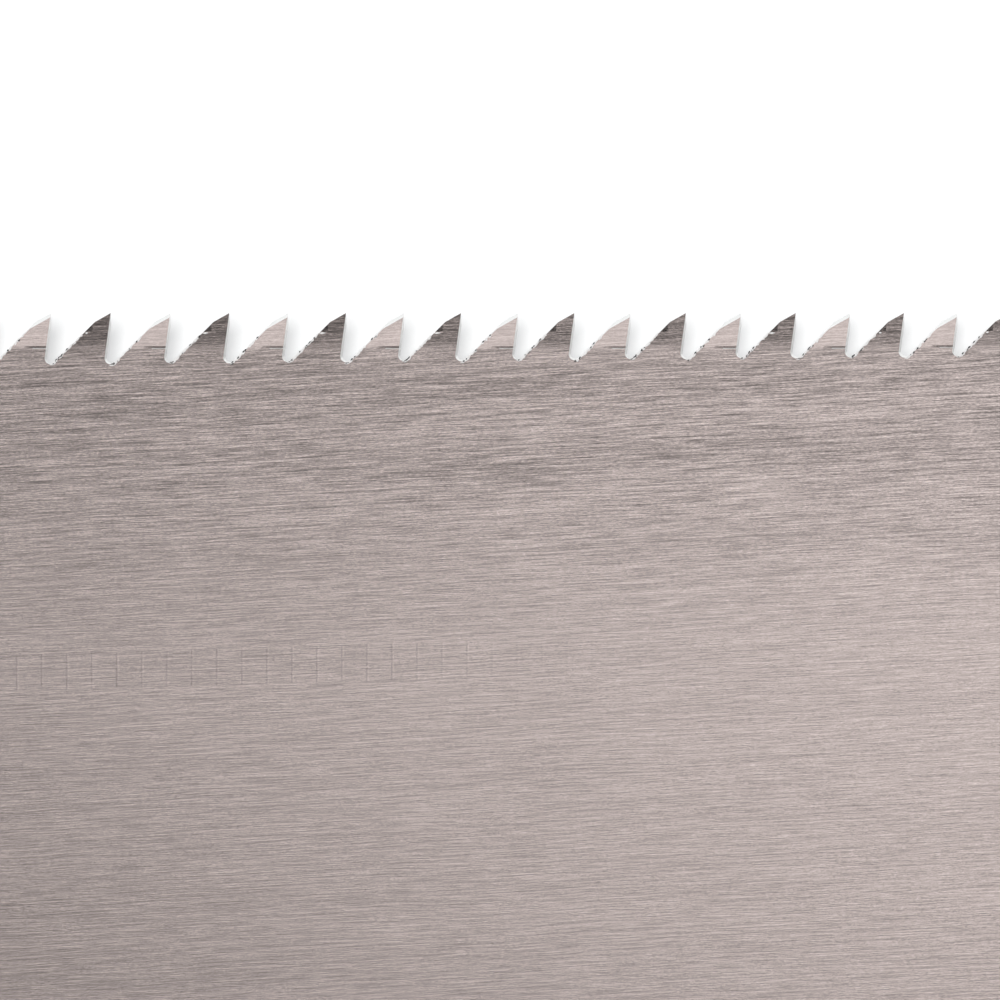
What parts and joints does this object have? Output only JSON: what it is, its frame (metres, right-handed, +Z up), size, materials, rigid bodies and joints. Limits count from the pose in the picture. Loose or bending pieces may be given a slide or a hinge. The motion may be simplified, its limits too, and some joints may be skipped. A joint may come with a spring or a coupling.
{
  "type": "ryoba saw",
  "caption": "Two-edged pull saw with a thin set-toothed steel blade, swing-out clamped holder, steel ferrule and a rattan-wrapped wooden handle.",
  "frame": {"origin": "under the middle of the whole saw, at the height of the surface it lies on", "axes": "+X towards the butt of the handle, +Y towards the ripping edge, +Z up, square to the blade"},
  "size_m": [0.652, 0.0957, 0.024],
  "materials": {
    "blade_steel": "ground along the length, warm grey",
    "holder_steel": "pressed, satin",
    "pin_steel": "cold-headed, satin",
    "plated_steel": "bright nickel plate",
    "ferrule_steel": "drawn, satin",
    "pale_wood": "bare, smooth sanded",
    "rattan": "split cane, waxy skin outwards"
  },
  "bodies": {
    "handle": {"holder_plate_upper": "holder_steel", "holder_plate_lower": "holder_steel", "holder_spacer": "holder_steel", "hook_pin": "pin_steel", "holder_rivets": "pin_steel", "lock_nut": "plated_steel", "ferrule": "ferrule_steel", "ferrule_tacks": "pin_steel", "handle_half_upper": "pale_wood", "handle_half_lower": "pale_wood", "handle_pins": "pin_steel", "rattan_wrap": "rattan"},
    "swinging_blade": {"blade": "blade_steel"},
    "rising_washer": {"lock_washer": "plated_steel"},
    "turning_screw": {"lock_screw": "plated_steel"}
  },
  "joints": [
    {"name": "blade_swing", "type": "hinge", "parent": "handle", "child": "swinging_blade", "pos_m": [-0.0225, 0, 0.012], "axis": [0, 0, 1], "range_deg": [0, 25]},
    {"name": "screw_travel", "type": "slide", "parent": "handle", "child": "rising_washer", "axis": [0, 0, 1], "range_m": [0, 0.0024]},
    {"name": "screw_turn", "type": "hinge", "parent": "rising_washer", "child": "turning_screw", "pos_m": [-0.0415, 0, 0.015], "axis": [0, 0, 1], "range_deg": [0, 1080]}
  ],
  "couplings": [
    {"joint": "screw_turn", "follows": "screw_travel", "rad_per_m": 7854}
  ]
}
